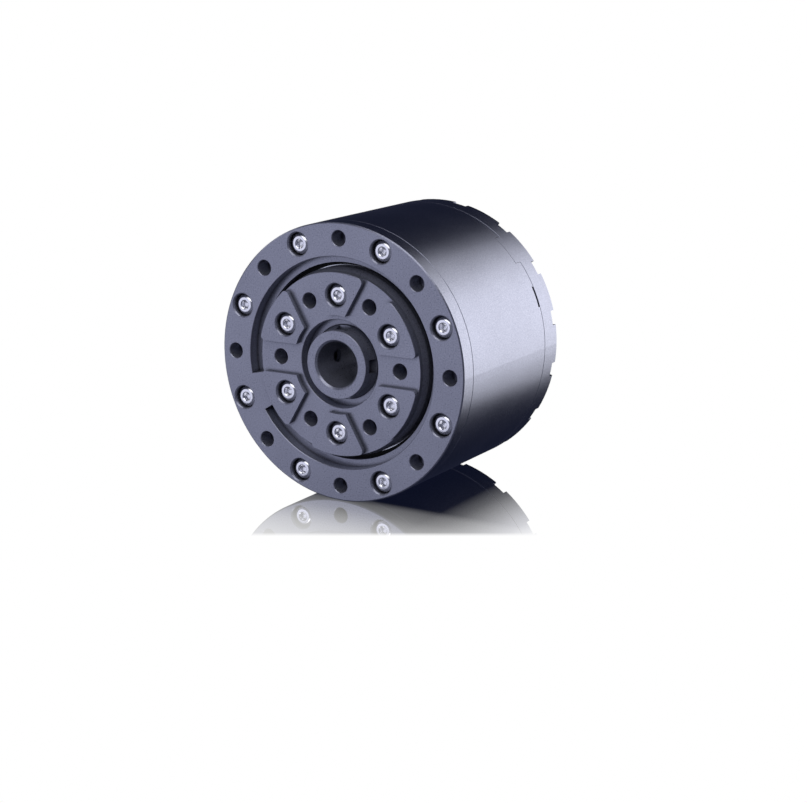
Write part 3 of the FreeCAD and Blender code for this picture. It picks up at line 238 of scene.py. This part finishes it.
dress(moulded("green solder mask", "#14432b", roughness=0.35, grain_mm=0.6, bump=0.2),
      "driver_board")
dress(moulded("black epoxy package", "#1c1c1f", roughness=0.5, grain_mm=0.2, bump=0.3),
      "board_components")
dress(moulded("coated glass disc", "#2a2b30", roughness=0.15, grain_mm=1.0, bump=0.05),
      "rotor_encoder_disc", "output_encoder_disc")

# Rear cover and its seal: the cover is cast aluminium, turned, blasted and anodised like the
# barrel. The seal is moulded nitrile rubber, black and matte.
dress(barrel, "rear_cover")
dress(moulded("nitrile rubber", "#161617", roughness=0.7, grain_mm=0.2, bump=0.4), "rear_seal")

# Connectors: open headers of moulded black nylon with gold plated contacts, two round ones for
# power and four square ones in each data header. The contacts stand in the cavity, below its rim,
# and their warm gold shows against the dull black.
dress(moulded("black nylon", "#1b1b1d", roughness=0.45, grain_mm=0.25, bump=0.3),
      "power_connector", "data_connectors")
gold = plated("gold plated brass", "#d8b35a", roughness=0.22, scratch_mm=0.3)
tolerance = 1e-6


def choose(piece, domain, test):
    """Selects, in edit mode, the faces or edges whose centre passes a test."""
    bpy.ops.object.mode_set(mode="EDIT")
    bpy.ops.mesh.select_mode(type=domain)
    bpy.ops.mesh.select_all(action="DESELECT")
    shape = bmesh.from_edit_mesh(piece.data)
    for item in (shape.faces if domain == "FACE" else shape.edges):
        centre = sum((corner.co for corner in item.verts), Vector()) / len(item.verts)
        if test(centre):
            item.select_set(True)
    bmesh.update_edit_mesh(piece.data)


def contact(name, place, sides, radius, root, tip, chamfer):
    """One contact pin along Y, from its root in the header's floor to its chamfered tip."""
    bpy.ops.object.select_all(action="DESELECT")
    bpy.ops.mesh.primitive_cylinder_add(vertices=sides, radius=radius, depth=tip - root,
                                        location=(0, 0, (tip - root) / 2))
    pin = bpy.context.object
    pin.name = name
    bpy.ops.object.transform_apply(location=True, rotation=True, scale=True)
    choose(pin, "FACE", lambda centre: centre.z > tip - root - tolerance)
    bpy.ops.mesh.bevel(offset=chamfer, segments=2, affect="EDGES")
    bpy.ops.mesh.select_all(action="SELECT")
    bpy.ops.mesh.remove_doubles(threshold=tolerance / 10)
    bpy.ops.object.mode_set(mode="OBJECT")
    pin.rotation_euler = (-math.pi / 2, 0, 0)
    pin.location = (place[0], root, place[1])
    bpy.ops.object.transform_apply(location=True, rotation=True, scale=True)
    bpy.ops.object.shade_smooth_by_angle(angle=math.radians(30))
    pin.data.materials.append(gold)
    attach(pin, "stator")


contact_root, contact_depth = 0.4 * mm, 1.2 * mm
low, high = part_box("power_connector")
power_side = 2.6 * mm
for number, side in enumerate((-power_side, power_side), 1):
    contact(f"power_contact_{number}", (side, (low[2] + high[2]) / 2), sides=24, radius=1.0 * mm,
            root=low[1] + contact_root, tip=high[1] - contact_depth, chamfer=0.3 * mm)
low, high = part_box("data_connectors")
data_side, data_count, data_pitch = 13 * mm, 4, 1.25 * mm
for header, centre in (("left", -data_side), ("right", data_side)):
    for number in range(data_count):
        side = centre + (number - (data_count - 1) / 2) * data_pitch
        contact(f"data_contact_{header}_{number + 1}", (side, (low[2] + high[2]) / 2), sides=4,
                radius=0.32 * mm, root=low[1] + contact_root, tip=high[1] - contact_depth,
                chamfer=0.12 * mm)

# Front ring: aluminium, milled and turned, blasted a little coarser than the barrel and anodised
# with it. Its dyed skin scatters some light, so the flat face and the walls look matte, and its
# turned outside has the barrel's finish.
face_finish = {"light_grain": "#a6a8b6", "dark_grain": "#767884", "grain_mm": 0.45,
               "roughness": 0.28, "bump": 0.35, "metal_share": 0.6}
outside_radius_mm = 44.8
dress(anodised("anodised aluminium, matte blasted, turned outside", **face_finish,
               outside=(outside_radius_mm, barrel_roughness)), "front_ring")

# Bearing shield: a thin aluminium disc which closes the bearing behind the gap between the ring's
# # lip and the flange. Its near-black colour is painted shade, so that the gap reads as a dark
# line.
dress(anodised("black shield, painted gap shade", "#0e0e10", "#08080a", grain_mm=0.4, roughness=0.8,
               bump=0.2, metal_share=0.0), "bearing_shield")

# Output flange and hollow shaft with its hub: aluminium, milled and turned, blasted and anodised as
# the front ring's face, so the two look the same beside it.
dress(anodised("anodised aluminium, matte blasted", **face_finish), "output_flange",
      "hollow_shaft")


# Cap screws: alloy steel with bright nickel plating, heads with a wide sloping rim and a hexagonal
# socket that is countersunk at its mouth and ends in a drill point. Eight M3 hold the front ring,
# six M3 the flange to the shaft, and six M2.5 the rear cover.
def cap_screw(head_radius, flat_radius, head_height, slope, socket_radius, socket_depth,
              thread_radius, length):
    """One cap screw along Z, the top of its head at the origin."""
    rounding = slope / 5
    tip, tip_share = thread_radius / 3, 0.7
    drill_point, drill_share = socket_radius / 3, 0.2
    mouth_depth, mouth_radius = socket_radius / 5, socket_radius * 1.08
    above = 1.0 * mm
    bpy.ops.object.select_all(action="DESELECT")
    bpy.ops.mesh.primitive_cylinder_add(vertices=48, radius=head_radius, depth=head_height - slope,
                                        location=(0, 0, -(head_height + slope) / 2))
    screw = bpy.context.object
    bpy.ops.object.transform_apply(location=True, rotation=True, scale=True)
    choose(screw, "FACE", lambda centre: centre.z > -slope - tolerance)
    bpy.ops.mesh.extrude_region_move(TRANSFORM_OT_translate={"value": (0, 0, slope)})
    shrink = flat_radius / head_radius
    bpy.ops.transform.resize(value=(shrink, shrink, 1))
    choose(screw, "EDGE",
           lambda centre: centre.z > -tolerance or abs(centre.z + slope) < tolerance)
    bpy.ops.mesh.bevel(offset=rounding, segments=3, affect="EDGES")
    choose(screw, "FACE", lambda centre: centre.z < tolerance - head_height)
    bpy.ops.mesh.inset(thickness=head_radius - thread_radius)
    bpy.ops.mesh.extrude_region_move(TRANSFORM_OT_translate={"value": (0, 0, tip - length)})
    bpy.ops.mesh.extrude_region_move(TRANSFORM_OT_translate={"value": (0, 0, -tip)})
    bpy.ops.transform.resize(value=(tip_share, tip_share, 1))
    bpy.ops.object.mode_set(mode="OBJECT")
    bpy.ops.object.select_all(action="DESELECT")
    bpy.ops.mesh.primitive_cylinder_add(vertices=6, radius=socket_radius,
                                        depth=socket_depth + above,
                                        location=(0, 0, (above - socket_depth) / 2))
    socket = bpy.context.object
    bpy.ops.object.transform_apply(location=True, rotation=True, scale=True)
    choose(socket, "FACE", lambda centre: centre.z < tolerance - socket_depth)
    bpy.ops.mesh.extrude_region_move(TRANSFORM_OT_translate={"value": (0, 0, -drill_point)})
    bpy.ops.transform.resize(value=(drill_share, drill_share, 1))
    bpy.ops.object.mode_set(mode="OBJECT")
    bpy.ops.object.select_all(action="DESELECT")
    bpy.ops.mesh.primitive_cone_add(vertices=48, radius1=mouth_radius - mouth_depth,
                                    radius2=mouth_radius + above, depth=mouth_depth + above,
                                    location=(0, 0, (above - mouth_depth) / 2))
    countersink = bpy.context.object
    bpy.ops.object.transform_apply(location=True, rotation=True, scale=True)
    for cutter in (socket, countersink):
        cut = screw.modifiers.new("cut", "BOOLEAN")
        cut.operation, cut.solver, cut.object = "DIFFERENCE", "EXACT", cutter
        bpy.context.view_layer.objects.active = screw
        bpy.ops.object.modifier_apply(modifier=cut.name)
        bpy.data.objects.remove(cutter, do_unlink=True)
    bpy.ops.object.select_all(action="DESELECT")
    screw.select_set(True)
    bpy.context.view_layer.objects.active = screw
    bpy.ops.object.shade_smooth_by_angle(angle=math.radians(35))
    screw.data.materials.append(nickel)
    return screw


def place_screws(screw, name, node, body, count, first, circle, head_top, facing):
    """Copies of a screw on a bolt circle, each with its socket turned a little differently."""
    socket_turn = 0.7
    for number in range(count):
        bpy.ops.object.select_all(action="DESELECT")
        screw.select_set(True)
        bpy.context.view_layer.objects.active = screw
        bpy.ops.object.duplicate(linked=False)
        copy = bpy.context.object
        copy.name = f"{name}_{number + 1}"
        angle = first + number * 2 * math.pi / count
        copy.rotation_euler = (0, 0, socket_turn * number)
        bpy.ops.object.transform_apply(location=True, rotation=True, scale=True)
        copy.rotation_euler = (facing * math.pi / 2, 0, 0)
        copy.location = (circle * math.cos(angle), head_top, circle * math.sin(angle))
        bpy.ops.object.transform_apply(location=True, rotation=True, scale=True)
        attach(copy, body)
        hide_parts(node)


front, rear = 1, -1
for name, node, body, count, first, circle, head_top, length in (
        ("front_ring_screw", "front_ring_screws", "stator", 8, 22.5, 40 * mm, 1 * mm, 10 * mm),
        ("flange_screw", "output_flange_screws", "output", 6, 30, 22.25 * mm, -0.8 * mm, 12 * mm)):
    m3 = cap_screw(head_radius=3.35 * mm, flat_radius=2.4 * mm, head_height=3 * mm,
                   slope=0.72 * mm, socket_radius=1.5 * mm, socket_depth=2.0 * mm,
                   thread_radius=1.5 * mm, length=length)
    place_screws(m3, name, node, body, count, math.radians(first), circle, head_top, front)
    bpy.data.objects.remove(m3, do_unlink=True)
small = cap_screw(head_radius=2.2 * mm, flat_radius=1.8 * mm, head_height=2 * mm,
                  slope=0.3 * mm, socket_radius=1.15 * mm, socket_depth=1.2 * mm,
                  thread_radius=1.25 * mm, length=10 * mm)
place_screws(small, "cover_screw", "rear_cover_screws", "stator", count=6, first=math.radians(30),
             circle=36.5 * mm, head_top=63 * mm, facing=rear)
bpy.data.objects.remove(small, do_unlink=True)

# Floor: a glossy white sheet under the barrel. Its mirror image is full beneath the barrel, fades
# in front of the face and beside the barrel, and ends in a short fade towards the viewer. Light
# and the metal's reflections pass through the sheet, so that it cuts no soft box in two.
floor_level, floor_size = -45 * mm, 6
azimuth = math.radians(30.681)
bpy.ops.object.select_all(action="DESELECT")
bpy.ops.mesh.primitive_plane_add(size=floor_size, location=(0, 0, floor_level))
floor = bpy.context.object
floor.name = "floor"
floor_sheet, output = new_material("glossy white sheet")
place = add_node(floor_sheet, "ShaderNodeTexCoord")
spot = add_node(floor_sheet, "ShaderNodeSeparateXYZ", {}, {"Vector": place.outputs["Object"]})
beside = add_node(floor_sheet, "ShaderNodeMath", {"operation": "ABSOLUTE"}, {0: spot.outputs["X"]})
towards = add_node(floor_sheet, "ShaderNodeVectorMath",
                   {"operation": "DOT_PRODUCT", 1: (math.sin(azimuth), -math.cos(azimuth), 0)},
                   {0: place.outputs["Object"]})
share = add_node(floor_sheet, "ShaderNodeMapRange",
                 {"From Min": 34.0 * mm, "From Max": 37.5 * mm, "To Min": 1.0, "To Max": 0.0},
                 {"Value": towards.outputs["Value"]})
along_stops = ((-70, 0.0), (-35, 0.38), (-25, 0.5), (-16, 0.66), (-8, 0.8), (0, 0.88), (5, 1.0),
               (62, 1.0), (118, 0.0))
beside_stops = ((0, 1.0), (34, 1.0), (42, 0.9), (48, 0.78), (62, 0.5), (75, 0.0))
for way, stops in ((spot.outputs["Y"], along_stops), (beside.outputs["Value"], beside_stops)):
    start, end = stops[0][0] * mm, stops[-1][0] * mm
    reach = add_node(floor_sheet, "ShaderNodeMapRange", {"From Min": start, "From Max": end},
                     {"Value": way})
    fade = add_node(floor_sheet, "ShaderNodeValToRGB", {}, {"Fac": reach.outputs["Result"]})
    while len(fade.color_ramp.elements) < len(stops):
        fade.color_ramp.elements.new(0.5)
    for element, (step, mirrored) in zip(fade.color_ramp.elements, stops):
        element.position = (step * mm - start) / (end - start)
        element.color = (mirrored, mirrored, mirrored, 1)
    share = add_node(floor_sheet, "ShaderNodeMath", {"operation": "MULTIPLY"},
                     {0: share.outputs[0], 1: fade.outputs["Color"]})
white = add_node(floor_sheet, "ShaderNodeEmission", {"Color": linear("#ffffff"), "Strength": 1.0})
mirror = add_node(floor_sheet, "ShaderNodeBsdfAnisotropic",
                  {"Color": linear("#ffffff"), "Roughness": 0.0})
mixed = add_node(floor_sheet, "ShaderNodeMixShader", {},
                 {"Fac": share.outputs["Value"], 1: white.outputs["Emission"],
                  2: mirror.outputs["BSDF"]})
floor_sheet.node_tree.links.new(mixed.outputs["Shader"], output.inputs["Surface"])
floor.data.materials.append(floor_sheet)
floor.visible_diffuse = False
floor.visible_glossy = False
floor.visible_shadow = False


# Studio: a white room for the eye, and for the metal a dim grey room whose far end is dark blue,
# with soft lights: a wide one for the face, one inside another behind for the barrel, whose band of
# light then ends softly, one above for the edges, and one at the left for that side.
def soft_light(name, azimuth, elevation, distance, aim, size, power, colour):
    """Rectangular soft box around the part, azimuth 0 in front of it and growing to its right."""
    data = bpy.data.lights.new(name, "AREA")
    data.shape = "RECTANGLE"
    data.size, data.size_y = size
    data.energy = power
    data.color = linear(colour)[:3]
    light = bpy.data.objects.new(name, data)
    turn, rise = math.radians(azimuth), math.radians(elevation)
    light.location = Vector((math.sin(turn) * math.cos(rise), -math.cos(turn) * math.cos(rise),
                             math.sin(rise))) * distance
    light.rotation_euler = (light.location - Vector(aim)).to_track_quat("Z", "Y").to_euler()
    bpy.context.scene.collection.objects.link(light)


soft_light("front light", azimuth=-30.7, elevation=-1.5, distance=0.8, aim=(0, 0.02, 0),
           size=(1.1, 0.6), power=1.6, colour="#e8eaff")
soft_light("barrel light", azimuth=149.0, elevation=6.0, distance=1.0, aim=(0, 0.02, 0),
           size=(0.84, 0.7), power=2.15, colour="#fcfcff")
soft_light("barrel glow", azimuth=149.0, elevation=9.5, distance=1.02, aim=(0, 0.02, 0),
           size=(0.84, 1.3), power=4.3, colour="#fcfcff")
soft_light("overhead light", azimuth=15.0, elevation=50.0, distance=0.8, aim=(0, 0, 0),
           size=(0.7, 0.7), power=2.7, colour="#fafaff")
soft_light("side light", azimuth=-95.0, elevation=25.0, distance=1.0, aim=(0, 0.03, 0),
           size=(0.9, 0.3), power=0.8, colour="#f4f4ff")

world = bpy.data.worlds.new("studio")
bpy.context.scene.world = world
world.use_nodes = True
world.node_tree.nodes.clear()
room_front, room_back = -0.1, 0.6
around = add_node(world, "ShaderNodeTexCoord")
heading = add_node(world, "ShaderNodeSeparateXYZ", {}, {"Vector": around.outputs["Generated"]})
depth = add_node(world, "ShaderNodeMapRange", {"From Min": room_front, "From Max": room_back},
                 {"Value": heading.outputs["Y"]})
walls = add_node(world, "ShaderNodeValToRGB", {}, {"Fac": depth.outputs["Result"]})
walls.color_ramp.elements[0].color = linear("#606373")
walls.color_ramp.elements[1].color = linear("#0e1630")
room = add_node(world, "ShaderNodeBackground", {"Strength": 1.0},
                {"Color": walls.outputs["Color"]})
backdrop = add_node(world, "ShaderNodeBackground", {"Color": linear("#ffffff"), "Strength": 1.0})
path = add_node(world, "ShaderNodeLightPath")
seen = add_node(world, "ShaderNodeMath", {"operation": "MAXIMUM"},
                {0: path.outputs["Is Camera Ray"], 1: path.outputs["Is Singular Ray"]})
shown = add_node(world, "ShaderNodeMixShader", {},
                 {"Fac": seen.outputs["Value"], 1: room.outputs["Background"],
                  2: backdrop.outputs["Background"]})
add_node(world, "ShaderNodeOutputWorld", {}, {"Surface": shown.outputs["Shader"]})
bpy.context.scene.view_settings.view_transform = "Standard"

# Camera: looks at the output face from the right and a little above, at the photograph's angle,
# with a lens that gives the same perspective.
elevation, distance = math.radians(13.659), 595.798 * mm
across, above = 20.261 * mm, -11.882 * mm
focal_pixels, frame_pixels = 1884.616, 807
back = Vector((math.sin(azimuth) * math.cos(elevation), -math.cos(azimuth) * math.cos(elevation),
               math.sin(elevation)))
turn = back.to_track_quat("Z", "Y")
camera_data = bpy.data.cameras.new("camera")
camera_data.sensor_width = 36.0
camera_data.lens = focal_pixels * camera_data.sensor_width / frame_pixels
camera_data.clip_start = 10 * mm
camera = bpy.data.objects.new("camera", camera_data)
camera.rotation_euler = turn.to_euler()
camera.location = back * distance + turn @ Vector((across, above, 0))
bpy.context.scene.collection.objects.link(camera)
bpy.context.scene.camera = camera
